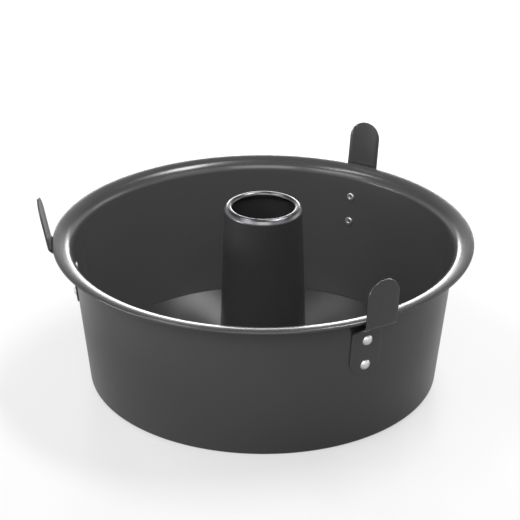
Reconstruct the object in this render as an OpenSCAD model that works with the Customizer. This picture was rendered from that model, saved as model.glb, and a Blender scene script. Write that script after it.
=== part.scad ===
// Two-piece angel food cake pan: a flared side ring with three riveted cooling feet,
// and a lift-out insert made of a flat base plate and a tapered centre tube.
// Millimetres, +Z up. The origin is the centre of the foot ring, on the table.

/* [Side ring] */
// Inside diameter of the mouth, where the wall runs into the rim bend
mouth_diameter = 254; // [200:1:290]
// Overall diameter over the rolled rim, mouth diameter plus this much
rim_overhang = 27; // [24:0.5:34]
// Height of the rim above the table
rim_height = 100.8; // [85:0.1:125]
// Outside diameter at the foot
foot_diameter = 235.8; // [180:0.1:250]
// Sheet thickness of the ring
ring_sheet = 0.8; // [0.6:0.1:1.2]
// Outside radius of the wide bend from the wall to the rim flange
rim_bend_radius = 7.5; // [5:0.1:9]
// Outside radius of the rolled rim edge
bead_radius = 2.4; // [1.8:0.1:2.6]
// How far the rolled edge stands proud of the flange
bead_rise = 0.4; // [0:0.1:0.8]
// Outside radius of the foot corner
foot_corner_radius = 4; // [2.5:0.1:4]
// Height of the ledge that carries the insert
ledge_height = 4.4; // [3:0.1:8]
// Radial width of the channel between the wall and the ledge
ledge_step = 4.2; // [3.5:0.1:6]
// Radial width of the ledge
ledge_width = 5; // [3:0.1:8]

/* [Insert] */
// Sheet thickness of the base plate and the tube
insert_sheet = 0.8; // [0.6:0.1:1.2]
// Radial gap between the base plate and the wall
plate_clearance = 0.35; // [0.3:0.05:0.8]
// Height of the tube above the table
tube_height = 123.1; // [110:0.1:150]
// Outside diameter of the tube at its top
tube_top_diameter = 51.9; // [44:0.1:60]
// Outside diameter of the tube at the base plate
tube_base_diameter = 59.8; // [50:0.1:70]
// Radial width of the tube's turned-in lip
tube_lip_width = 5.2; // [4:0.1:7]
// Depth of the lip's inner hem
tube_lip_depth = 4; // [3:0.1:8]
// Outside radius of the lip's two bends
tube_lip_radius = 1.8; // [1.2:0.1:1.9]
// Radial width of the seam flange under the base plate
seam_width = 4; // [3:0.1:8]

/* [Cooling feet] */
// Direction of each foot around the pan, left, front and back, in degrees
foot_directions = [182.4, 300.8, 59.9];
// Outward lean of each foot's tab, left, front and back, in degrees
tab_leans = [11, 4.8, 8.2];
// How far each foot is riveted below the nominal height
foot_drops = [0.6, 1.8, 0];
// Width of the strap
strap_width = 23; // [16:0.1:26]
// Thickness of the strap
strap_sheet = 1.1; // [0.8:0.1:1.4]
// Height where the strap bends away from the wall, below the rim's top
strap_bend_drop = 12.8; // [12.8:0.1:16]
// Length of the strap down the wall, from that bend to its rounded lower end
strap_grip = 32; // [32:0.1:40]
// How far the strap runs out to pass the rim
jog_out = 15; // [14.4:0.1:18]
// How far the strap climbs while it runs out
jog_up = 10.1; // [8:0.1:10.2]
// Length of the tab from the jog to its rounded tip
tab_length = 33.3; // [28:0.1:45]
// Middle radius of the strap's two bends
strap_bend_radius = 2.8; // [2:0.1:3.5]

/* [Rivets] */
// Diameter of the rivet's shank
shank_diameter = 3.2; // [2.8:0.1:4]
// Diameter of the domed head outside
head_diameter = 7.1; // [5.5:0.1:8]
// Height of the domed head
head_height = 1.9; // [1.2:0.1:2.4]
// Diameter of the clinched ring inside
tail_diameter = 5.5; // [4.8:0.1:6.5]
// Height of the clinched ring
tail_height = 1.2; // [0.8:0.1:1.6]
// Rounding of the clinched ring's edge
tail_round = 0.55; // [0.3:0.05:0.6]
// Diameter of the hole in the rivet's end
tail_bore = 1.7; // [1.2:0.1:2]
// Depth of the hole in the rivet's end
tail_bore_depth = 1.6; // [1:0.1:2]
// Height of the lower rivet above the strap's lower end
rivet_inset = 7.1; // [6:0.1:10]
// Distance between a foot's two rivets
rivet_spacing = 18.2; // [14:0.1:18.2]

/* [Hidden] */
$fn = 96;

LEFT = 0;
FRONT = 1;
BACK = 2;

coat = [0.23, 0.23, 0.24];
bare = [0.85, 0.86, 0.88];

half_ring = ring_sheet / 2;
rim_radius = (mouth_diameter + rim_overhang) / 2;

// Outer wall line: from the top of the foot corner to the start of the rim bend.
wall_low_z = foot_corner_radius;
wall_high_z = rim_height - rim_bend_radius;
wall_low_r = foot_diameter / 2;
wall_high_r = mouth_diameter / 2 + ring_sheet;
wall_slope = (wall_high_r - wall_low_r) / (wall_high_z - wall_low_z);
wall_angle = atan(wall_slope);

function wall_outer(z) = wall_low_r + (z - wall_low_z) * wall_slope;
function wall_middle(z) = wall_outer(z) - half_ring / cos(wall_angle);
function wall_inner(z) = wall_outer(z) - ring_sheet / cos(wall_angle);

// Insert heights.
floor_height = ledge_height + insert_sheet;
plate_radius = wall_inner(ledge_height) - plate_clearance;
half_insert = insert_sheet / 2;
tube_slope = (tube_base_diameter - tube_top_diameter) / 2 / (tube_height - floor_height);
function tube_outer(z) = tube_base_diameter / 2 - (z - floor_height) * tube_slope;
function tube_middle(z) = tube_outer(z) - half_insert;

// Foot strap heights, and the middle line of its sheet.
strap_bend_z = rim_height - strap_bend_drop;
strap_bottom = strap_bend_z - strap_grip;
function strap_line(z) = wall_outer(z) + strap_sheet / 2 / cos(wall_angle);
lower_rivet_z = strap_bottom + rivet_inset;
upper_rivet_z = lower_rivet_z + rivet_spacing;

// Small lift that keeps a rivet's flat faces off the curved sheets under them.
seat_gap = 0.04;
// Radial gap between a rivet's shank and its holes.
hole_gap = 0.02;
// Length of the cylinders that cut the rivet holes, across both sheets.
hole_length = 15;
// How far a cutting shape runs past what it cuts, and how far the shank runs into the head.
overcut = 1;
sink = 0.2;
// Arc of sheet that a foot is cut from, with a little to spare, in degrees.
sweep_spare = 3;
foot_sweep = 2 * asin(strap_width / 2 / wall_low_r) + sweep_spare;
// Middle radii of the small bends in the ledge, the rim's valley and the tube's seam.
small_bend = 0.8;
valley_bend = 0.6;
seam_bend = 0.5;
// Fall of the flange from its crest to the valley, and the stretch of the rolled edge, in degrees.
flange_fall = 8;
bead_start = 125;
bead_end = -150;

// Sheet metal in section: a path at mid-thickness, with a bend radius at each inner point.
arc_step = 9;

function unit(v) = v / norm(v);
function left_of(v) = [-v[1], v[0]];
function reverse(list) = [for (i = [len(list) - 1:-1:0]) list[i]];
function without_first(list) = [for (i = [1:len(list) - 1]) list[i]];
function crossing(p, along_p, q, along_q) = p + along_p * cross(q - p, along_q) / cross(along_p, along_q);

function arc(centre, radius, from, to) =
    let (steps = max(2, ceil(abs(to - from) / arc_step)))
    [for (i = [0:steps]) let (a = from + (to - from) * i / steps) centre + radius * [cos(a), sin(a)]];

// The bend at q between p and s, drawn at a distance to the left of the path.
function bend_side(p, q, s, radius, offset) =
    let (u = unit(q - p), v = unit(s - q))
    let (swing = atan2(cross(u, v), u * v), side = sign(swing))
    let (start = q - u * radius * tan(abs(swing) / 2))
    let (centre = start + left_of(u) * side * radius)
    let (from = atan2(-left_of(u)[1] * side, -left_of(u)[0] * side))
    arc(centre, radius - side * offset, from, from + swing);

function path_side(points, radii, offset) =
    let (last = len(points) - 1)
    concat(
        [points[0] + left_of(unit(points[1] - points[0])) * offset],
        [for (i = [1:last - 1]) each bend_side(points[i - 1], points[i], points[i + 1], radii[i], offset)],
        [points[last] + left_of(unit(points[last] - points[last - 1])) * offset]
    );

module sheet_path(points, radii, sheet) {
    polygon(concat(
        path_side(points, radii, sheet / 2),
        reverse(path_side(points, radii, -sheet / 2))
    ));
}

// One side of the ring's section: ledge, foot channel, wall, rim bend, valley and rolled edge.
function wall_side(offset) =
    let (foot_z = half_ring, ledge_z = ledge_height - half_ring)
    let (riser_r = wall_middle(foot_z) - ledge_step)
    let (crest = rim_bend_radius - half_ring, crest_z = rim_height - rim_bend_radius)
    let (crest_r = wall_middle(crest_z) + crest / cos(wall_angle))
    let (flange_start = [crest_r, crest_z] + crest * [sin(flange_fall), cos(flange_fall)])
    let (flange_way = [cos(flange_fall), -sin(flange_fall)])
    let (bead = [rim_radius - bead_radius, rim_height + bead_rise - bead_radius])
    let (bead_line = bead_radius - half_ring)
    let (bead_entry = bead + bead_line * [cos(bead_start), sin(bead_start)])
    let (bead_way = [sin(bead_start), -cos(bead_start)])
    let (foot_corner = [wall_middle(foot_z), foot_z])
    concat(
        path_side([
            [riser_r - ledge_width, ledge_z],
            [riser_r, ledge_z],
            [riser_r, foot_z],
            foot_corner,
            crossing(foot_corner, [wall_slope, 1], flange_start, flange_way),
            crossing(flange_start, flange_way, bead_entry, bead_way),
            bead_entry
        ], [0, small_bend, small_bend, foot_corner_radius - half_ring, crest, valley_bend, 0], offset),
        without_first(arc(bead, bead_line + offset, bead_start, bead_end))
    );

module wall_section() {
    polygon(concat(wall_side(half_ring), reverse(wall_side(-half_ring))));
}

module at_rivet(which, z) {
    rotate([0, 0, foot_directions[which]])
        translate([wall_outer(z - foot_drops[which]), 0, z - foot_drops[which]])
            rotate([0, 90 + wall_angle, 0])
                children();
}

module rivet_holes(which) {
    for (z = [lower_rivet_z, upper_rivet_z])
        at_rivet(which, z)
            cylinder(h = hole_length, d = shank_diameter + 2 * hole_gap, center = true);
}

module pan_wall() {
    color(coat)
        difference() {
            rotate_extrude()
                wall_section();
            for (which = [LEFT, FRONT, BACK])
                rivet_holes(which);
        }
}

module tube_cone(sheet_offset) {
    low = -overcut;
    high = floor_height + overcut;
    translate([0, 0, low])
        cylinder(h = high - low, r1 = tube_outer(low) + sheet_offset, r2 = tube_outer(high) + sheet_offset);
}

module base_plate() {
    color(coat)
        difference() {
            translate([0, 0, ledge_height])
                cylinder(h = insert_sheet, r = plate_radius);
            tube_cone(0);
        }
}

module center_tube() {
    lip_z = tube_height - half_insert;
    seam_z = ledge_height - half_insert;
    lip_r = tube_top_diameter / 2 - tube_lip_width + half_insert;
    points = [
        [tube_middle(seam_z) + seam_width, seam_z],
        [tube_middle(seam_z), seam_z],
        [tube_middle(lip_z), lip_z],
        [lip_r, lip_z],
        [lip_r, tube_height - tube_lip_depth]
    ];
    radii = [0, seam_bend, tube_lip_radius - half_insert, tube_lip_radius - half_insert, 0];
    color(coat)
        rotate_extrude()
            sheet_path(points, radii, insert_sheet);
}

module foot_outline(drop, tip_z) {
    half = strap_width / 2;
    low = strap_bottom - drop + half;
    high = tip_z - half;
    translate([0, low])
        circle(r = half);
    translate([0, high])
        circle(r = half);
    translate([-half, low])
        square([strap_width, high - low]);
}

module foot(which) {
    drop = foot_drops[which];
    lean = tab_leans[which];
    bend_z = strap_bend_z - drop;
    low_z = strap_bottom - drop - overcut;
    corner = [strap_line(bend_z) + jog_out, bend_z + jog_up];
    tip = corner + tab_length * [sin(lean), cos(lean)];
    points = [
        [strap_line(low_z), low_z],
        [strap_line(bend_z), bend_z],
        corner,
        tip + overcut * [sin(lean), cos(lean)]
    ];
    radii = [0, strap_bend_radius, strap_bend_radius, 0];
    color(coat)
        difference() {
            rotate([0, 0, foot_directions[which]])
                intersection() {
                    rotate([0, 0, -foot_sweep / 2])
                        rotate_extrude(angle = foot_sweep)
                            sheet_path(points, radii, strap_sheet);
                    rotate([90, 0, 90])
                        linear_extrude(height = 2 * rim_radius)
                            foot_outline(drop, tip[1]);
                }
            rivet_holes(which);
        }
}

// One rivet along its axis: the domed head is outside, the clinched hollow end inside.
module rivet_shape() {
    head_sphere = (head_diameter * head_diameter / 4 + head_height * head_height) / (2 * head_height);
    grip_out = strap_sheet + seat_gap;
    grip_in = ring_sheet + seat_gap;
    difference() {
        union() {
            translate([0, 0, -grip_in - tail_height / 2])
                cylinder(h = grip_in + grip_out + tail_height / 2 + sink, d = shank_diameter);
            translate([0, 0, grip_out])
                intersection() {
                    translate([0, 0, head_height - head_sphere])
                        sphere(r = head_sphere);
                    cylinder(h = head_height, d = head_diameter);
                }
            rotate_extrude()
                translate([0, -grip_in - tail_height])
                    tail_section();
        }
        translate([0, 0, -grip_in - tail_height - overcut])
            cylinder(h = tail_bore_depth + overcut, d = tail_bore);
    }
}

// The clinched ring in section: its rounded edge is at the end of the rivet.
module tail_section() {
    square([tail_diameter / 2 - tail_round, tail_height]);
    translate([0, tail_round])
        square([tail_diameter / 2, tail_height - tail_round]);
    translate([tail_diameter / 2 - tail_round, tail_round])
        circle(r = tail_round);
}

module rivet(which, z) {
    color(bare)
        at_rivet(which, z)
            rivet_shape();
}

pan_wall();
base_plate();
center_tube();
foot(LEFT);  // leg_left
foot(FRONT);  // leg_front
foot(BACK);  // leg_back
rivet(LEFT, upper_rivet_z);  // rivet_left_upper
rivet(LEFT, lower_rivet_z);  // rivet_left_lower
rivet(FRONT, upper_rivet_z);  // rivet_front_upper
rivet(FRONT, lower_rivet_z);  // rivet_front_lower
rivet(BACK, upper_rivet_z);  // rivet_back_upper
rivet(BACK, lower_rivet_z);  // rivet_back_lower
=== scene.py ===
import math

import bmesh
import bpy
from mathutils import Matrix, Vector


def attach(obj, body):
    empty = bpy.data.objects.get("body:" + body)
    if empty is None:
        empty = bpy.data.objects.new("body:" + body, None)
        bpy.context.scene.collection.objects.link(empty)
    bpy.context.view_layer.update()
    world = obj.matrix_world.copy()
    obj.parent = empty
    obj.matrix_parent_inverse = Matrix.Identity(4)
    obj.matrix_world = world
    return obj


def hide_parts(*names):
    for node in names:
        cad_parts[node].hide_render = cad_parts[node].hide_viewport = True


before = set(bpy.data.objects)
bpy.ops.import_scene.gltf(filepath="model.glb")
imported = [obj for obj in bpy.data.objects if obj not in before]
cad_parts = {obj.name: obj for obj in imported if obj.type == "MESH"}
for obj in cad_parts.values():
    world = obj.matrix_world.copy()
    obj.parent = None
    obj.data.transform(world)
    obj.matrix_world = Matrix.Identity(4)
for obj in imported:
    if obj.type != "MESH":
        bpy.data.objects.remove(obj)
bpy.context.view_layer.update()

bl_info = {
    "name": "Angel food cake pan",
    "version": (1, 0, 0),
    "blender": (4, 5, 0),
    "location": "View3D > Sidebar > Cake pan",
    "description": "Builds a loose-bottomed tube pan with riveted feet around its packed frame",
    "category": "Object",
}

MM = 0.001
RING_BODY = "ring"
INSERT_BODY = "insert"
AXIS_Z = Vector((0, 0, 1))
AXIS_Y = Vector((0, 1, 0))

# Points nearer to each other than this are one point.
MERGE = 1e-7
# Largest swing between two points of a rounded bend, in degrees.
BEND_STEP = 6
# Faces whose edge turns more than this are shaded as a crisp edge, in degrees.
CRISP_EDGE = 38
# Edges that turn more than this are cut edges, which are softened, in radians.
CUT_EDGE = 1
# Steps of the spun pieces around their axis.
RING_STEPS = 240
PLATE_STEPS = 192
TUBE_STEPS = 144
RIVET_STEPS = 48
# Strips of a foot's blank along it and across it, and steps of its round ends.
FOOT_STRIPS = 90
FOOT_LANES = 8
FOOT_ROUND_STEPS = 64

# How far the rim's edge is rolled under.
BEAD_SWEEP = math.radians(-215)
# Slope of the tube's shoulder from the vertical.
SHOULDER_SLOPE = math.radians(30)

# Steel that shows through the coating where it is rubbed thin, how much rougher it is there,
# and the height over which it comes through.
WORN_STEEL = "#68686A"
WORN_ROUGHNESS = 0.08
WEAR_FADE = 0.8 * MM
# The range that most of a noise texture's values lie in.
NOISE_LOW, NOISE_HIGH = 0.3, 0.7
# Half of the floor's side, in metres.
FLOOR_HALF = 3.0
# Strength of the floor's white to the camera, and in the pan's own reflections.
FLOOR_WHITE = 0.74
FLOOR_MIRRORED = 0.16
# Share of the sheen in which the floor mirrors the pan.
FLOOR_SHEEN = 0.2
# What the lamps point at, in metres.
LAMP_TARGET = Vector((0, 0, 0.05))


# Colours and settings


def linear(hex_colour, alpha=1.0):
    """An sRGB hex colour as Blender's linear colour."""
    parts = [int(hex_colour[i:i + 2], 16) / 255 for i in (1, 3, 5)]
    curve = [c / 12.92 if c <= 0.04045 else ((c + 0.055) / 1.055) ** 2.4 for c in parts]
    return (*curve, alpha)


def length(name, text, default_mm):
    return bpy.props.FloatProperty(
        name=name, description=text, default=default_mm * MM, min=0.0, precision=4,
        unit="LENGTH", subtype="DISTANCE")


def colour(name, text, hex_colour):
    return bpy.props.FloatVectorProperty(
        name=name, description=text, default=linear(hex_colour), size=4,
        min=0.0, max=1.0, subtype="COLOR")


# Sizes and colours a user would change


class RingSizes(bpy.types.PropertyGroup):
    """Sizes of the flared side ring"""
    mouth: length("Mouth", "Inside diameter where the wall meets the rim bend", 254)
    overhang: length("Rim overhang", "Rim diameter beyond the mouth", 27)
    height: length("Rim height", "Top of the rim bend above the table", 100.8)
    foot: length("Foot", "Outside diameter at the foot", 235.8)
    sheet: length("Sheet", "Thickness of the ring's steel", 0.8)
    bend_drop: length("Bend drop", "Depth of the rim bend's start below the rim's top", 7.5)
    crest: length("Rim bend", "Outside radius of the wide bend from the wall to the flange", 7.9)
    crown: length("Flange crown", "Outside radius of the flange's gentle crown", 19)
    climb: length("Flange climb", "How far the flange's edge stands above the rim bend", 0.2)
    bead: length("Rolled edge", "Outside radius of the rolled rim edge", 1.2)
    foot_corner: length("Foot corner", "Outside radius of the foot corner", 4)
    ledge_height: length("Ledge height", "Height of the ledge that carries the insert", 4.4)
    ledge_step: length("Channel", "Width of the channel between wall and ledge", 4.2)
    ledge_width: length("Ledge", "Radial width of the ledge", 5)
    crown_rise: bpy.props.FloatProperty(
        name="Crown rise", description="Slope of the flange where the rim bend ends",
        default=math.radians(17), subtype="ANGLE", unit="ROTATION")
    crown_fall: bpy.props.FloatProperty(
        name="Crown fall", description="Slope of the flange where the rolled edge starts",
        default=math.radians(4.6), subtype="ANGLE", unit="ROTATION")


class InsertSizes(bpy.types.PropertyGroup):
    """Sizes of the loose base plate and its centre tube"""
    sheet: length("Sheet", "Thickness of the plate and the tube", 0.8)
    clearance: length("Clearance", "Gap between the plate and the wall", 0.35)
    tube_height: length("Tube height", "Top of the tube above the table", 123.1)
    tube_top: length("Tube top", "Outside diameter of the tube at its top", 51.9)
    tube_base: length("Tube base", "Outside diameter of the tube at the plate", 59.8)
    lip_width: length("Lip width", "Radial width of the tube's turned-in lip", 5.2)
    shoulder: length("Shoulder", "Height of the sloping shoulder below the tube's lip", 2.6)
    lip_bend: length("Lip bend", "Outside radius of the lip's inner bend", 2.0)
    lip_curl: bpy.props.FloatProperty(
        name="Lip curl", description="How far the lip's edge curls on inside the tube",
        default=math.radians(50), subtype="ANGLE", unit="ROTATION")
    seam: length("Seam", "Width of the tube's flange under the plate", 4)


class FootSizes(bpy.types.PropertyGroup):
    """Sizes of the riveted cooling feet"""
    width: length("Width", "Width of the strap", 23)
    sheet: length("Sheet", "Thickness of the strap", 1.1)
    bend_drop: length("Bend drop", "Depth of the first bend below the rim", 12.8)
    grip: length("Grip", "Length of the strap down the wall, below its first bend", 32)
    jog_out: length("Jog out", "How far the strap runs out past the rim", 15)
    jog_up: length("Jog up", "How far the strap climbs as it runs out", 10.1)
    tab: length("Tab", "Length of the tab beyond the jog", 33.3)
    bend: length("Bends", "Middle radius of the strap's bends", 2.8)
    edge: length("Edge break", "Rounding of the strap's stamped edges", 0.18)


class RivetSizes(bpy.types.PropertyGroup):
    """Sizes of the rivets"""
    shank: length("Shank", "Diameter of the shank", 3.2)
    head: length("Head", "Diameter of the domed head", 7.1)
    head_height: length("Head height", "Height of the domed head", 1.9)
    tail: length("Tail", "Diameter of the clinched ring", 5.5)
    tail_height: length("Tail height", "Height of the clinched ring", 1.2)
    tail_round: length("Tail rounding", "Rounding of the clinched ring's edge", 0.55)
    bore: length("Bore", "Diameter of the hole in the tail", 1.7)
    bore_depth: length("Bore depth", "Depth of the hole in the tail", 1.6)
    inset: length("Inset", "Lower rivet above the strap's lower end", 7.1)
    spacing: length("Spacing", "Distance between a foot's two rivets", 18.2)


class PanColours(bpy.types.PropertyGroup):
    """Colours of the pan and its stage"""
    coat: colour("Ring coating", "Dark grey non-stick coating of the ring and feet", "#3F3F40")
    # Painted light: this paler copy of the coating stands in for the light that falls inside the
    # wall.
    painted_light_inner_coat: colour("Inside coating", "Coating inside the wall, paler from use", "#4C4C4D")
    insert_coat: colour("Insert coating", "Darker coating of the plate and tube", "#373738")
    rivet: colour("Rivets", "Bare aluminium of the rivets", "#E4E5E7")
    floor: colour("Floor", "Pale studio floor", "#959595")


# Feet in the order left, front, back: direction, lean and drop below the nominal height.
FEET = {
    "left": (math.radians(182.4), math.radians(11), 0.6 * MM),
    "front": (math.radians(300.8), math.radians(4.8), 1.8 * MM),
    "back": (math.radians(59.9), math.radians(8.2), 0.0),
}


# Sheet metal in section


def cross2(a, b):
    return a.x * b.y - a.y * b.x


def crossing(p, along_p, q, along_q):
    """Where two lines of the section meet."""
    return p + along_p * (cross2(q - p, along_q) / cross2(along_p, along_q))


def at_section(point):
    """A point of the section, (radius, height), in the plane that is spun."""
    return Vector((point.x, 0, point.y))


def extend_line(bm, vert, point):
    """Extrude the section's last vertex to a point and return the new one."""
    new = bmesh.ops.extrude_vert_indiv(bm, verts=[vert])["verts"][0]
    bmesh.ops.translate(bm, verts=[new], vec=at_section(point) - new.co)
    return new


def extend_bend(bm, vert, centre, swing):
    """Spin the section's last vertex around a bend's centre and return the last new one."""
    steps = max(2, math.ceil(abs(math.degrees(swing)) / BEND_STEP))
    made = bmesh.ops.spin(
        bm, geom=[vert], cent=at_section(centre), axis=-AXIS_Y, angle=swing, steps=steps,
        use_merge=False, use_duplicate=False)
    return [g for g in made["geom_last"] if isinstance(g, bmesh.types.BMVert)][0]


def draw_side(bm, corners, radii, offset):
    """Draw one side of a bent sheet, at an offset to the left of its middle line."""
    ways = [(b - a).normalized() for a, b in zip(corners, corners[1:])]
    lefts = [Vector((-w.y, w.x)) for w in ways]
    first = bm.verts.new(at_section(corners[0] + lefts[0] * offset))
    last = first
    for i in range(1, len(corners) - 1):
        swing = math.atan2(cross2(ways[i - 1], ways[i]), ways[i - 1].dot(ways[i]))
        side = math.copysign(1, swing)
        start = corners[i] - ways[i - 1] * radii[i] * math.tan(abs(swing) / 2)
        centre = start + lefts[i - 1] * side * radii[i]
        last = extend_line(bm, last, start + lefts[i - 1] * offset)
        last = extend_bend(bm, last, centre, swing)
    last = extend_line(bm, last, corners[-1] + lefts[-1] * offset)
    return first, last


def spin_section(bm, steps):
    """Spin a closed section into a solid of revolution about the pan's axis."""
    bmesh.ops.spin(
        bm, geom=bm.verts[:] + bm.edges[:], cent=(0, 0, 0), axis=AXIS_Z,
        angle=math.tau, steps=steps, use_merge=True, use_duplicate=False)
    bmesh.ops.remove_doubles(bm, verts=bm.verts[:], dist=MERGE)
    bmesh.ops.recalc_face_normals(bm, faces=bm.faces[:])


def spin_sheet(corners, radii, sheet, centre, swing, steps):
    """Spin the section of a bent sheet whose last edge curls around a centre."""
    bm = bmesh.new()
    ends = []
    for offset in (sheet / 2, -sheet / 2):
        first, last = draw_side(bm, corners, radii, offset)
        ends.append((first, extend_bend(bm, last, centre, swing)))
    for pair in zip(*ends):
        bm.edges.new(pair)
    spin_section(bm, steps)
    return bm


def cut_edges(bm):
    """The edges that are cut or stamped square."""
    return [e for e in bm.edges if len(e.link_faces) == 2 and e.calc_face_angle() > CUT_EDGE]


def soften(bm, edges, offset, segments):
    """Round sharp edges off."""
    bmesh.ops.bevel(
        bm, geom=edges, offset=offset, segments=segments, affect="EDGES", profile=0.5,
        material=-1)


def finish_piece(bm, name, body, material, slot, *nodes):
    """Turn a bmesh into a smooth-shaded piece that rides a body and stands for CAD nodes."""
    mesh = bpy.data.meshes.new(name)
    for face in bm.faces:
        face.smooth = True
    bm.to_mesh(mesh)
    bm.free()
    mesh.set_sharp_from_angle(angle=math.radians(CRISP_EDGE))
    mesh.materials.append(material)
    piece = bpy.data.objects.new(name, mesh)
    bpy.context.scene.collection.objects.link(piece)
    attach(piece, body)
    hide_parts(*nodes)


class Wall:
    """The straight flared wall of the side ring, as radius against height."""

    def __init__(self, ring):
        self.low = ring.foot_corner
        self.high = ring.height - ring.bend_drop
        self.foot = ring.foot / 2
        self.slope = (ring.mouth / 2 + ring.sheet - self.foot) / (self.high - self.low)
        self.angle = math.atan(self.slope)
        self.sheet = ring.sheet

    def outer(self, z):
        return self.foot + (z - self.low) * self.slope

    def middle(self, z):
        return self.outer(z) - self.sheet / 2 / math.cos(self.angle)

    def inner(self, z):
        return self.outer(z) - self.sheet / math.cos(self.angle)


# Materials


def add(tree, kind, links=(), **settings):
    """Add a node, set its properties or sockets, and link (socket, output) pairs into it."""
    node = tree.nodes.new(kind)
    for key, value in settings.items():
        if hasattr(node, key):
            setattr(node, key, value)
        else:
            node.inputs[key.replace("_", " ")].default_value = value
    for socket, output in links:
        tree.links.new(output, node.inputs[socket])
    return node


def new_material(name):
    material = bpy.data.materials.get(name) or bpy.data.materials.new(name)
    material.use_nodes = True
    material.node_tree.nodes.clear()
    return material, material.node_tree


def away_from_axis(tree, place):
    """Direction away from the pan's axis, as long as the distance from it."""
    split = add(tree, "ShaderNodeSeparateXYZ", [("Vector", place)])
    flat = add(
        tree, "ShaderNodeCombineXYZ", [("X", split.outputs["X"]), ("Y", split.outputs["Y"])])
    return flat.outputs["Vector"]


def flaked(tree, place, coat, dark, pale):
    """Colour of a sprayed film, with grains of pigment about 0.6 mm apart."""
    flake = add(tree, "ShaderNodeTexNoise", [("Vector", place)], Scale=1 / (0.6 * MM), Detail=2.0)
    shade = add(
        tree, "ShaderNodeMix", [("Factor", flake.outputs["Fac"])], data_type="RGBA",
        blend_type="MIX")
    shade.inputs["A"].default_value = [c * dark for c in coat[:3]] + [1]
    shade.inputs["B"].default_value = [c * pale for c in coat[:3]] + [1]
    return shade.outputs["Result"]


def paint_light_inside(tree, place, shade, coat, painted_light_inner_coat):
    """Paint light on the side of a wall that faces the pan's axis, as a paler copy of its coating.
    """
    normal = add(tree, "ShaderNodeTexCoord").outputs["Normal"]
    away = add(
        tree, "ShaderNodeVectorMath", [(0, away_from_axis(tree, place))], operation="NORMALIZE")
    # 1 on the outer side of an upright wall, -1 on its inner side.
    facing = add(
        tree, "ShaderNodeVectorMath", [(0, normal), (1, away.outputs["Vector"])],
        operation="DOT_PRODUCT")
    inside = add(
        tree, "ShaderNodeMapRange", [("Value", facing.outputs["Value"])],
        From_Min=-0.6, From_Max=-0.95)
    # Painted light: on the inner side the coating is made paler for the light that falls inside
    # the pan.
    paler = add(
        tree, "ShaderNodeMix", [("Factor", inside.outputs["Result"])], data_type="RGBA",
        blend_type="MIX")
    paler.inputs["A"].default_value = [1, 1, 1, 1]
    paler.inputs["B"].default_value = [b / a for a, b in zip(coat, painted_light_inner_coat)]
    tinted = add(
        tree, "ShaderNodeMix", [("A", shade), ("B", paler.outputs["Result"])],
        data_type="RGBA", blend_type="MULTIPLY")
    tinted.inputs["Factor"].default_value = 1.0
    return tinted.outputs["Result"]


def rub_thin(tree, place, shade, rough, film, worn_above):
    """Let the steel under a film glint above a height."""
    height = add(tree, "ShaderNodeSeparateXYZ", [("Vector", place)])
    wear = add(
        tree, "ShaderNodeMapRange", [("Value", height.outputs["Z"])],
        From_Min=worn_above, From_Max=worn_above + WEAR_FADE)
    steel = add(
        tree, "ShaderNodeMix", [("Factor", wear.outputs["Result"]), ("A", shade)],
        data_type="RGBA", blend_type="MIX")
    steel.inputs["B"].default_value = linear(WORN_STEEL)
    rubbed = add(
        tree, "ShaderNodeMath", [(0, wear.outputs["Result"]), (2, rough)],
        operation="MULTIPLY_ADD")
    rubbed.inputs[1].default_value = WORN_ROUGHNESS
    tree.links.new(rubbed.outputs["Value"], film.inputs["Roughness"])
    tree.links.new(steel.outputs["Result"], film.inputs["Base Color"])
    tree.links.new(wear.outputs["Result"], film.inputs["Metallic"])


def coated_steel(coat, name="satin_non_stick_coating", painted_light_inner_coat=None, worn_above=None):
    """Sprayed non-stick coating on drawn steel: satin, with a faint orange peel and fine flake.

    The inner side of a wall may get painted light, a paler copy of the coating. Above a given
    height the film is rubbed thin, so that the steel under it glints.
    """
    material, tree = new_material(name)
    place = add(tree, "ShaderNodeTexCoord").outputs["Object"]
    shade = flaked(tree, place, coat, dark=0.90, pale=1.12)
    if painted_light_inner_coat is not None:
        shade = paint_light_inside(tree, place, shade, coat, painted_light_inner_coat)
    # Slow drift of the film's thickness, about 45 mm across.
    drift = add(tree, "ShaderNodeTexNoise", [("Vector", place)], Scale=1 / (45 * MM), Detail=3.0)
    rough = add(
        tree, "ShaderNodeMapRange", [("Value", drift.outputs["Fac"])],
        From_Min=NOISE_LOW, From_Max=NOISE_HIGH, To_Min=0.19, To_Max=0.25)
    # Orange peel of the cured film, about 1.6 mm between crests.
    peel = add(tree, "ShaderNodeTexNoise", [("Vector", place)], Scale=1 / (1.6 * MM), Detail=1.0)
    bump = add(
        tree, "ShaderNodeBump", [("Height", peel.outputs["Fac"])], Strength=0.10,
        Distance=0.02 * MM)
    film = add(
        tree, "ShaderNodeBsdfPrincipled",
        [("Base Color", shade), ("Roughness", rough.outputs["Result"]),
         ("Normal", bump.outputs["Normal"])],
        IOR=1.5)
    if worn_above is not None:
        rub_thin(tree, place, shade, rough.outputs["Result"], film, worn_above)
    add(tree, "ShaderNodeOutputMaterial", [("Surface", film.outputs["BSDF"])])
    return material


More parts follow.
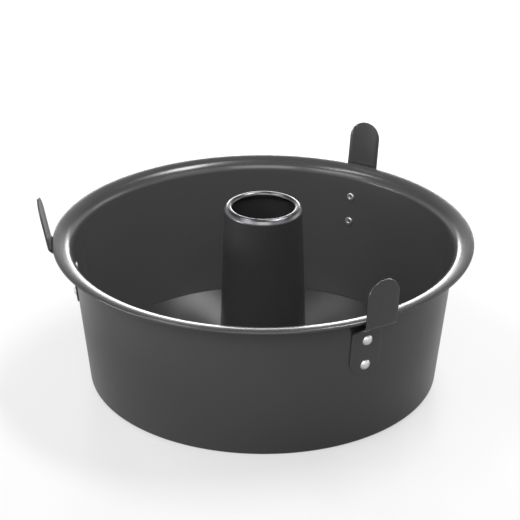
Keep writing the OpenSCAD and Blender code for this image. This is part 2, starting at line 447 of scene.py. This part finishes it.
def spun_plate(coat):
    """The same coating over a spun plate: rings from the spinning spread its highlight outward."""
    material, tree = new_material("satin_coating_on_spun_plate")
    place = add(tree, "ShaderNodeTexCoord").outputs["Object"]
    away = away_from_axis(tree, place)
    radius = add(tree, "ShaderNodeVectorMath", [(0, away)], operation="LENGTH")
    # Spinning rings, drawn 1.1 mm apart so that they show.
    rings = add(
        tree, "ShaderNodeTexNoise", [("W", radius.outputs["Value"])], noise_dimensions="1D",
        Scale=1 / (1.1 * MM), Detail=2.0)
    bump = add(
        tree, "ShaderNodeBump", [("Height", rings.outputs["Fac"])], Strength=0.12,
        Distance=0.02 * MM)
    film = add(
        tree, "ShaderNodeBsdfPrincipled",
        [("Base Color", flaked(tree, place, coat, dark=0.92, pale=1.10)),
         ("Normal", bump.outputs["Normal"]), ("Tangent", away)],
        Roughness=0.36, Anisotropic=1.0, IOR=1.67)
    add(tree, "ShaderNodeOutputMaterial", [("Surface", film.outputs["BSDF"])])
    return material


def bare_aluminium():
    """Cold-headed aluminium: bright, with a slightly rough struck surface."""
    material, tree = new_material("cold_headed_aluminium")
    base = bpy.context.scene.pan_colours.rivet
    place = add(tree, "ShaderNodeTexCoord").outputs["Object"]
    # Marks of the heading tool, about 0.5 mm across.
    marks = add(tree, "ShaderNodeTexNoise", [("Vector", place)], Scale=1 / (0.5 * MM), Detail=3.0)
    rough = add(
        tree, "ShaderNodeMapRange", [("Value", marks.outputs["Fac"])],
        From_Min=NOISE_LOW, From_Max=NOISE_HIGH, To_Min=0.3, To_Max=0.46)
    bump = add(
        tree, "ShaderNodeBump", [("Height", marks.outputs["Fac"])], Strength=0.25,
        Distance=0.03 * MM)
    metal = add(
        tree, "ShaderNodeBsdfPrincipled",
        [("Roughness", rough.outputs["Result"]), ("Normal", bump.outputs["Normal"])],
        Metallic=1.0)
    metal.inputs["Base Color"].default_value = base
    add(tree, "ShaderNodeOutputMaterial", [("Surface", metal.outputs["BSDF"])])
    return material


# Pieces


class PAN_OT_side_ring(bpy.types.Operator):
    """Spin the side ring: ledge, foot, flared wall, rim bend, flange and rolled edge"""
    bl_idname = "pan.side_ring"
    bl_label = "Side ring"

    def execute(self, context):
        ring = context.scene.pan_ring
        wall = Wall(ring)
        half = ring.sheet / 2
        # Middle radius of the ledge's two bends.
        ledge_bend = 0.8 * MM
        riser = wall.middle(half) - ring.ledge_step
        # The crown of the flange is tangent to the rolled edge, whose outside is the rim.
        rise, fall = ring.crown_rise, ring.crown_fall
        crown_z = ring.height + ring.climb - ring.crown
        bead = Vector((
            (ring.mouth + ring.overhang) / 2 - ring.bead,
            crown_z + (ring.crown - ring.bead) * math.cos(fall)))
        crown = Vector((bead.x - (ring.crown - ring.bead) * math.sin(fall), crown_z))
        crown_start = crown + (ring.crown - half) * Vector((-math.sin(rise), math.cos(rise)))
        rise_way = Vector((math.cos(rise), math.sin(rise)))
        bead_entry = bead + (ring.bead - half) * Vector((math.sin(fall), math.cos(fall)))
        fall_way = Vector((math.cos(fall), -math.sin(fall)))
        foot_corner = Vector((wall.middle(half), half))
        corners = [
            Vector((riser - ring.ledge_width, ring.ledge_height - half)),
            Vector((riser, ring.ledge_height - half)),
            Vector((riser, half)),
            foot_corner,
            crossing(foot_corner, Vector((wall.slope, 1)), crown_start, rise_way),
            crossing(crown_start, rise_way, bead_entry, fall_way),
            bead_entry,
        ]
        radii = [
            0, ledge_bend, ledge_bend, ring.foot_corner - half, ring.crest - half,
            ring.crown - half, 0]
        bm = spin_sheet(corners, radii, ring.sheet, bead, BEAD_SWEEP, RING_STEPS)
        colours = context.scene.pan_colours
        # The inside of the wall gets painted light, a paler copy of the coating.
        coat = coated_steel(
            colours.coat, "satin_coating_on_side_ring", painted_light_inner_coat=colours.painted_light_inner_coat)
        finish_piece(bm, "side_ring", RING_BODY, coat, "coated_steel", "pan_wall")
        return {"FINISHED"}


def tube_outer(ring, insert, z):
    """Outside radius of the centre tube at a height."""
    floor = ring.ledge_height + insert.sheet
    slope = (insert.tube_base - insert.tube_top) / 2 / (insert.tube_height - floor)
    return insert.tube_base / 2 - (z - floor) * slope


class PAN_OT_base_plate(bpy.types.Operator):
    """Spin the loose base plate, a flat ring with softened edges"""
    bl_idname = "pan.base_plate"
    bl_label = "Base plate"

    def execute(self, context):
        ring, insert = context.scene.pan_ring, context.scene.pan_insert
        wall = Wall(ring)
        low, high = ring.ledge_height, ring.ledge_height + insert.sheet
        edge = wall.inner(low) - insert.clearance
        edge_break = 0.2 * MM
        bm = bmesh.new()
        section = [
            (tube_outer(ring, insert, low), low), (edge, low),
            (edge, high), (tube_outer(ring, insert, high), high)]
        verts = [bm.verts.new((r, 0, z)) for r, z in section]
        for a, b in zip(verts, verts[1:] + verts[:1]):
            bm.edges.new((a, b))
        spin_section(bm, PLATE_STEPS)
        rims = [e for e in cut_edges(bm) if e.verts[0].co.xy.length > edge - MM]
        soften(bm, rims, edge_break, segments=3)
        finish_piece(
            bm, "loose_base_plate", INSERT_BODY, spun_plate(context.scene.pan_colours.insert_coat),
            "coated_steel", "base_plate")
        return {"FINISHED"}


class PAN_OT_centre_tube(bpy.types.Operator):
    """Spin the tapered centre tube with its turned-in lip and its seam flange"""
    bl_idname = "pan.centre_tube"
    bl_label = "Centre tube"

    def execute(self, context):
        ring, insert = context.scene.pan_ring, context.scene.pan_insert
        half = insert.sheet / 2
        top = insert.tube_height - half
        seam_z = ring.ledge_height - half
        # Middle radii of the seam's bend and of the bends below and above the shoulder.
        seam_bend, shoulder_bend, lip_start_bend = 0.5 * MM, 2.4 * MM, 2.2 * MM
        # A straight run too short to see lets the lip's bend end before its curl starts.
        run = 0.02 * MM
        # The wear starts this far below the shoulder.
        wear_drop = 0.6 * MM
        lip = insert.tube_top / 2 - insert.lip_width + half
        bend = insert.lip_bend - half
        curl_start = Vector((lip, top - bend - run))
        shoulder_z = top - insert.shoulder
        shoulder = Vector((tube_outer(ring, insert, shoulder_z) - half, shoulder_z))
        foot = tube_outer(ring, insert, seam_z) - half
        corners = [
            Vector((foot + insert.seam, seam_z)),
            Vector((foot, seam_z)),
            shoulder,
            Vector((shoulder.x - insert.shoulder * math.tan(SHOULDER_SLOPE), top)),
            Vector((lip, top)),
            curl_start,
        ]
        radii = [0, seam_bend, shoulder_bend, lip_start_bend, bend, 0]
        bm = spin_sheet(
            corners, radii, insert.sheet, curl_start + Vector((bend, 0)), insert.lip_curl,
            TUBE_STEPS)
        coat = coated_steel(
            context.scene.pan_colours.insert_coat, "satin_coating_on_drawn_tube",
            worn_above=shoulder_z - wear_drop)
        finish_piece(bm, "tapered_centre_tube", INSERT_BODY, coat, "coated_steel", "center_tube")
        return {"FINISHED"}


class PAN_OT_cooling_feet(bpy.types.Operator):
    """Stamp, bend and place the three cooling feet"""
    bl_idname = "pan.cooling_feet"
    bl_label = "Cooling feet"

    def execute(self, context):
        coat = coated_steel(context.scene.pan_colours.coat)
        for name, (direction, lean, drop) in FEET.items():
            bm = self.make_foot(context.scene, lean, drop)
            bmesh.ops.rotate(
                bm, verts=bm.verts[:], cent=(0, 0, 0), matrix=Matrix.Rotation(direction, 3, "Z"))
            finish_piece(
                bm, f"cooling_foot_{name}", RING_BODY, coat, "coated_steel", f"leg_{name}")
        return {"FINISHED"}

    def make_foot(self, scene, lean, drop):
        """One foot, on the side of the ring that X points to."""
        ring, foot = scene.pan_ring, scene.pan_foot
        wall = Wall(ring)
        bend_z = ring.height - foot.bend_drop - drop
        low_z = bend_z - foot.grip
        thick = foot.sheet / 2 / math.cos(wall.angle)
        start = Vector((wall.outer(low_z) + thick, low_z))
        first = Vector((wall.outer(bend_z) + thick, bend_z))
        second = first + Vector((foot.jog_out, foot.jog_up))
        tab = foot.tab - foot.sheet / 2 * math.tan(lean)
        tip = second + Vector((math.sin(lean), math.cos(lean))) * tab
        route = SheetRoute([start, first, second, tip], foot.bend)
        bm = self.stamp_blank(foot, route)
        self.bend_blank(bm, route)
        return bm

    def stamp_blank(self, foot, route):
        """The flat strap: Y across, Z along, X through its thickness."""
        half = foot.width / 2
        bm = bmesh.new()
        bmesh.ops.create_circle(
            bm, cap_ends=True, segments=FOOT_ROUND_STEPS, radius=half)
        # The circle lies flat, and is stood up with its Y across and its Z along the strap.
        bmesh.ops.rotate(
            bm, verts=bm.verts[:], cent=(0, 0, 0), matrix=Matrix.Rotation(math.pi / 2, 3, "Y"))
        bmesh.ops.translate(bm, verts=bm.verts[:], vec=(0, 0, half))
        upper = [v for v in bm.verts if v.co.z > half + MERGE]
        bmesh.ops.translate(bm, verts=upper, vec=(0, 0, route.length - foot.width))
        cuts = [
            ((0, 0, route.length * i / FOOT_STRIPS), (0, 0, 1)) for i in range(1, FOOT_STRIPS)]
        cuts += [
            ((0, -half + foot.width * i / FOOT_LANES, 0), (0, 1, 0))
            for i in range(1, FOOT_LANES)]
        for point, normal in cuts:
            bmesh.ops.bisect_plane(
                bm, geom=bm.verts[:] + bm.edges[:] + bm.faces[:], plane_co=point, plane_no=normal)
        face = bmesh.ops.extrude_face_region(bm, geom=bm.faces[:])
        moved = [g for g in face["geom"] if isinstance(g, bmesh.types.BMVert)]
        bmesh.ops.translate(bm, verts=moved, vec=(foot.sheet, 0, 0))
        bmesh.ops.translate(bm, verts=bm.verts[:], vec=(-foot.sheet / 2, 0, 0))
        bmesh.ops.recalc_face_normals(bm, faces=bm.faces[:])
        soften(bm, cut_edges(bm), foot.edge, segments=2)
        return bm

    def bend_blank(self, bm, route):
        """Lay the flat strap along its bent route, curved to the wall's radius."""
        for vert in bm.verts:
            across, along, through = vert.co.y, vert.co.z, vert.co.x
            point, way = route.at(along)
            outward = Vector((way.y, -way.x))
            radius = point.x + outward.x * through
            height = point.y + outward.y * through
            vert.co = Vector((math.sqrt(radius * radius - across * across), across, height))


class SheetRoute:
    """The middle line of a bent strap: straight runs joined by arcs, measured along its length."""

    def __init__(self, corners, radius):
        ways = [(b - a).normalized() for a, b in zip(corners, corners[1:])]
        self.runs = []
        here = corners[0]
        for i in range(1, len(corners) - 1):
            swing = math.atan2(cross2(ways[i - 1], ways[i]), ways[i - 1].dot(ways[i]))
            cut = radius * math.tan(abs(swing) / 2)
            start = corners[i] - ways[i - 1] * cut
            self.runs.append((here, ways[i - 1], (start - here).length, 0.0))
            self.runs.append((start, ways[i - 1], radius * abs(swing), swing))
            here = corners[i] + ways[i] * cut
        self.runs.append((here, ways[-1], (corners[-1] - here).length, 0.0))
        self.length = sum(run[2] for run in self.runs)

    def at(self, along):
        """Point and direction at a distance along the route."""
        for run in self.runs:
            origin, way, span, swing = run
            if along <= span or run is self.runs[-1]:
                break
            along -= span
        if not swing:
            return origin + way * along, way
        radius = span / abs(swing)
        left = Vector((-way.y, way.x)) * math.copysign(1, swing)
        centre = origin + left * radius
        turn = Matrix.Rotation(swing * along / span, 2)
        return centre - (turn @ left) * radius, turn @ way


class PAN_OT_rivets(bpy.types.Operator):
    """Head and clinch the rivets that hold the feet"""
    bl_idname = "pan.rivets"
    bl_label = "Rivets"

    def execute(self, context):
        scene = context.scene
        ring, foot, rivet = scene.pan_ring, scene.pan_foot, scene.pan_rivet
        wall = Wall(ring)
        metal = bare_aluminium()
        for name, (direction, _, drop) in FEET.items():
            lower = ring.height - foot.bend_drop - foot.grip - drop + rivet.inset
            for place, z in (("lower", lower), ("upper", lower + rivet.spacing)):
                bm = self.make_rivet(scene)
                turn = (Matrix.Rotation(direction, 4, "Z")
                        @ Matrix.Translation((wall.outer(z), 0, z))
                        @ Matrix.Rotation(math.pi / 2 + wall.angle, 4, "Y"))
                bmesh.ops.transform(bm, matrix=turn, verts=bm.verts[:])
                finish_piece(
                    bm, f"hollow_rivet_{name}_{place}", RING_BODY, metal, "rivet_metal",
                    f"rivet_{name}_{place}")
        return {"FINISHED"}

    def make_rivet(self, scene):
        """One rivet along Z: the domed head up, the clinched hollow end down."""
        rivet = scene.pan_rivet
        # Keeps the rivet's flat faces off the curved sheets.
        seat = 0.04 * MM
        outside = scene.pan_foot.sheet + seat
        inside = -(scene.pan_ring.sheet + seat)
        low = inside - rivet.tail_height
        sphere = (rivet.head ** 2 / 4 + rivet.head_height ** 2) / (2 * rivet.head_height)
        dome = math.asin(rivet.head / 2 / sphere)
        roll = rivet.tail_round
        # The clinched ring draws in a little where it meets the sheet.
        tail_root = rivet.tail / 2 - roll / 5
        bm = bmesh.new()
        vert = bm.verts.new((0, 0, outside + rivet.head_height))
        centre = Vector((0, outside + rivet.head_height - sphere))
        last = extend_bend(bm, vert, centre, -dome)
        for r, z in ((rivet.shank / 2, outside), (rivet.shank / 2, inside), (tail_root, inside)):
            last = extend_line(bm, last, Vector((r, z)))
        tail_r = rivet.tail / 2 - roll
        last = extend_line(bm, last, Vector((rivet.tail / 2, low + roll)))
        last = extend_bend(bm, last, Vector((tail_r, low + roll)), -math.pi / 2)
        lip = rivet.bore / 2 + roll
        last = extend_line(bm, last, Vector((lip, low)))
        last = extend_bend(bm, last, Vector((lip, low + roll)), -math.pi / 2)
        # The hole ends in a shallow cone.
        top = low + rivet.bore_depth
        for r, z in ((rivet.bore / 2, top), (0, top + rivet.bore / 4)):
            last = extend_line(bm, last, Vector((r, z)))
        spin_section(bm, RIVET_STEPS)
        return bm


class PAN_OT_stage(bpy.types.Operator):
    """Lay the pale floor, hang the soft lights and set the camera"""
    bl_idname = "pan.stage"
    bl_label = "Stage"

    def execute(self, context):
        scene = context.scene
        self.lay_floor(scene)
        self.light_world(scene)
        self.hang_lights(scene)
        self.set_camera(scene)
        scene.view_settings.view_transform = "Standard"
        return {"FINISHED"}

    def lay_floor(self, scene):
        bm = bmesh.new()
        bmesh.ops.create_grid(bm, x_segments=1, y_segments=1, size=FLOOR_HALF)
        mesh = bpy.data.meshes.new("studio_floor")
        bm.to_mesh(mesh)
        bm.free()
        floor = bpy.data.objects.new("studio_floor", mesh)
        scene.collection.objects.link(floor)
        material, tree = new_material("white_studio_floor")
        path = add(tree, "ShaderNodeLightPath")
        # White to the camera and, more dimly, in the pan's own reflections.
        mirrored = add(
            tree, "ShaderNodeMath", [(0, path.outputs["Is Glossy Ray"])], operation="MULTIPLY")
        mirrored.inputs[1].default_value = FLOOR_MIRRORED
        glow = add(
            tree, "ShaderNodeMath",
            [(0, path.outputs["Is Camera Ray"]), (2, mirrored.outputs["Value"])],
            operation="MULTIPLY_ADD")
        glow.inputs[1].default_value = FLOOR_WHITE
        paper = add(tree, "ShaderNodeBsdfDiffuse")
        paper.inputs["Color"].default_value = scene.pan_colours.floor
        white = add(
            tree, "ShaderNodeEmission", [("Strength", glow.outputs["Value"])], Color=(1, 1, 1, 1))
        lit = add(tree, "ShaderNodeAddShader")
        tree.links.new(paper.outputs["BSDF"], lit.inputs[0])
        tree.links.new(white.outputs["Emission"], lit.inputs[1])
        sheen = add(tree, "ShaderNodeBsdfGlossy", Color=(1, 1, 1, 1), Roughness=0.2)
        share = add(
            tree, "ShaderNodeMath", [(0, path.outputs["Is Camera Ray"])], operation="MULTIPLY")
        share.inputs[1].default_value = FLOOR_SHEEN
        glaze = add(
            tree, "ShaderNodeMixShader",
            [(0, share.outputs["Value"]), (1, lit.outputs["Shader"]), (2, sheen.outputs["BSDF"])])
        add(tree, "ShaderNodeOutputMaterial", [("Surface", glaze.outputs["Shader"])])
        mesh.materials.append(material)

    def light_world(self, scene):
        world = bpy.data.worlds.new("studio_white")
        scene.world = world
        world.use_nodes = True
        tree = world.node_tree
        tree.nodes.clear()
        path = add(tree, "ShaderNodeLightPath")
        seen = add(
            tree, "ShaderNodeMath",
            [(0, path.outputs["Is Camera Ray"]), (1, path.outputs["Is Glossy Ray"])],
            operation="MAXIMUM")
        fill = add(tree, "ShaderNodeBackground", Color=(1, 1, 1, 1), Strength=0.08)
        # White up to 17 degrees above the floor, darker towards the ceiling.
        sky = add(tree, "ShaderNodeTexCoord").outputs["Generated"]
        height = add(tree, "ShaderNodeSeparateXYZ", [("Vector", sky)])
        fade = add(
            tree, "ShaderNodeMapRange", [("Value", height.outputs["Z"])],
            From_Min=0.3, From_Max=0.45, To_Min=1.0, To_Max=0.1)
        white = add(
            tree, "ShaderNodeBackground", [("Strength", fade.outputs["Result"])],
            Color=(1, 1, 1, 1))
        mix = add(
            tree, "ShaderNodeMixShader",
            [(0, seen.outputs["Value"]), (1, fill.outputs["Background"]),
             (2, white.outputs["Background"])])
        add(tree, "ShaderNodeOutputWorld", [("Surface", mix.outputs["Shader"])])

    def hang_lights(self, scene):
        # name, place, width and height in metres, power in watts
        lights = (
            ("key_softbox", (0.57, 0.25, 1.69), (0.9, 0.32), 22.0),
            ("left_key_softbox", (-0.76, 0.02, 1.62), (0.8, 0.17), 7.2),
            ("front_softbox", (0.0, -1.85, 1.45), (1.5, 1.1), 21.0),
            ("front_left_softbox", (-1.4, -1.15, 1.3), (1.2, 0.8), 13.0),
            ("front_right_softbox", (1.4, -1.15, 1.3), (1.2, 0.8), 4.5),
            ("back_softbox", (0.0, 3.4, 0.65), (2.4, 0.84), 55.0),
            ("left_softbox", (-1.8, -0.5, 0.1), (0.9, 0.3), 15.0),
            ("right_softbox", (1.75, 0.6, 0.5), (0.9, 0.5), 2.5),
        )
        for name, place, size, power in lights:
            lamp = bpy.data.lights.new(name, "AREA")
            lamp.shape = "RECTANGLE"
            lamp.size, lamp.size_y = size
            lamp.energy = power
            lamp_object = bpy.data.objects.new(name, lamp)
            lamp_object.location = place
            aim = LAMP_TARGET - Vector(place)
            lamp_object.rotation_euler = aim.to_track_quat("-Z", "Y").to_euler()
            scene.collection.objects.link(lamp_object)

    def set_camera(self, scene):
        # Solved from the pan's outline in the photo, which is 520 x 520.
        place = Vector((-5.1, -1313.0, 709.9)) * MM
        pitch, yaw, roll = math.radians(25.53), math.radians(0.13), math.radians(0.17)
        camera = bpy.data.cameras.new("photo_camera")
        camera.sensor_width = 36.0
        camera.lens = 150.0
        camera.clip_end = 20.0
        holder = bpy.data.objects.new("photo_camera", camera)
        turn = (Matrix.Rotation(-yaw, 4, "Z") @ Matrix.Rotation(math.pi / 2 - pitch, 4, "X")
                @ Matrix.Rotation(roll, 4, "Z"))
        holder.matrix_world = Matrix.Translation(place) @ turn
        scene.collection.objects.link(holder)
        scene.camera = holder


class PAN_PT_sidebar(bpy.types.Panel):
    """Lists the pan's pieces, sizes and colours"""
    bl_idname = "PAN_PT_sidebar"
    bl_label = "Angel food cake pan"
    bl_space_type = "VIEW_3D"
    bl_region_type = "UI"
    bl_category = "Cake pan"

    def draw(self, context):
        for operator in OPERATORS:
            self.layout.operator(operator.bl_idname)
        for group in GROUPS:
            box = self.layout.box()
            box.label(text=GROUPS[group].__doc__)
            for key in GROUPS[group].__annotations__:
                box.prop(getattr(context.scene, group), key)


GROUPS = {
    "pan_ring": RingSizes,
    "pan_insert": InsertSizes,
    "pan_foot": FootSizes,
    "pan_rivet": RivetSizes,
    "pan_colours": PanColours,
}
OPERATORS = (
    PAN_OT_stage,
    PAN_OT_side_ring,
    PAN_OT_base_plate,
    PAN_OT_centre_tube,
    PAN_OT_cooling_feet,
    PAN_OT_rivets,
)


def register():
    for group in GROUPS.values():
        bpy.utils.register_class(group)
    for operator in OPERATORS:
        bpy.utils.register_class(operator)
    bpy.utils.register_class(PAN_PT_sidebar)
    for name, group in GROUPS.items():
        setattr(bpy.types.Scene, name, bpy.props.PointerProperty(type=group))


def unregister():
    for name in GROUPS:
        delattr(bpy.types.Scene, name)
    bpy.utils.unregister_class(PAN_PT_sidebar)
    for operator in reversed(OPERATORS):
        bpy.utils.unregister_class(operator)
    for group in reversed(GROUPS.values()):
        bpy.utils.unregister_class(group)


def main():
    register()
    for operator in OPERATORS:
        group, name = operator.bl_idname.split(".")
        getattr(getattr(bpy.ops, group), name)()


if __name__ == "__main__":
    main()
